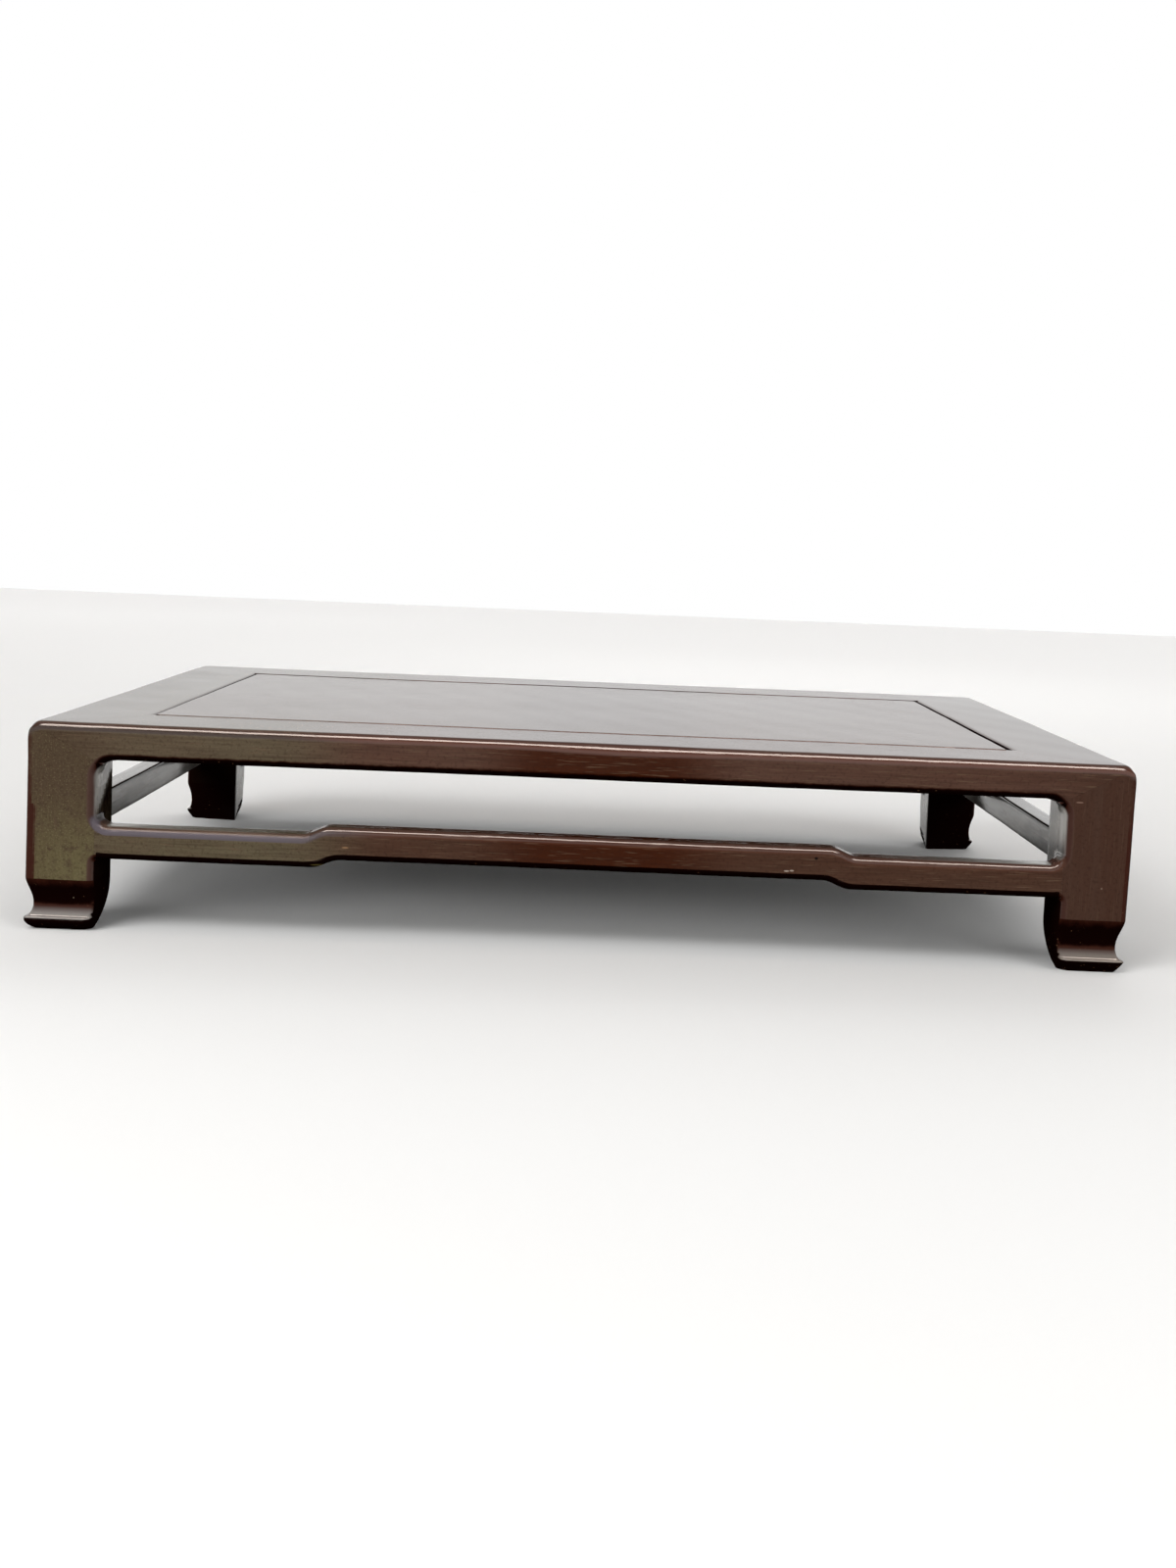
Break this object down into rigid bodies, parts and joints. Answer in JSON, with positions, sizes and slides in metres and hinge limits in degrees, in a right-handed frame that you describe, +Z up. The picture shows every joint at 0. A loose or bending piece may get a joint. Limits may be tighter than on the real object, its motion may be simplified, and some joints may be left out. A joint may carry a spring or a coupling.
{
  "type": "low display table",
  "caption": "Low rectangular hardwood display table: mitred frame with a floating panel on corner legs with hollow-necked feet, joined by humpback and straight stretchers.",
  "frame": {"origin": "on the floor, under the centre of the table", "axes": "+X along the length, +Y towards the rear, +Z up"},
  "size_m": [0.6, 0.4, 0.115],
  "materials": {
    "frame_wood": "dark reddish-brown hardwood, polished, worn at the edges",
    "panel_wood": "dark reddish-brown hardwood, highly polished",
    "leg_wood": "dark hardwood, polished, olive-brown where worn",
    "stretcher_wood": "dark reddish hardwood, polished",
    "batten_wood": "dark hardwood, plain and unpolished"
  },
  "bodies": {
    "root": {"top_panel": "panel_wood", "front_frame_rail": "frame_wood", "rear_frame_rail": "frame_wood", "left_frame_end": "frame_wood", "right_frame_end": "frame_wood", "front_left_leg": "leg_wood", "front_right_leg": "leg_wood", "rear_left_leg": "leg_wood", "rear_right_leg": "leg_wood", "front_stretcher": "stretcher_wood", "rear_stretcher": "stretcher_wood", "left_side_stretcher": "stretcher_wood", "right_side_stretcher": "stretcher_wood", "left_batten": "batten_wood", "right_batten": "batten_wood"}
  },
  "joints": []
}
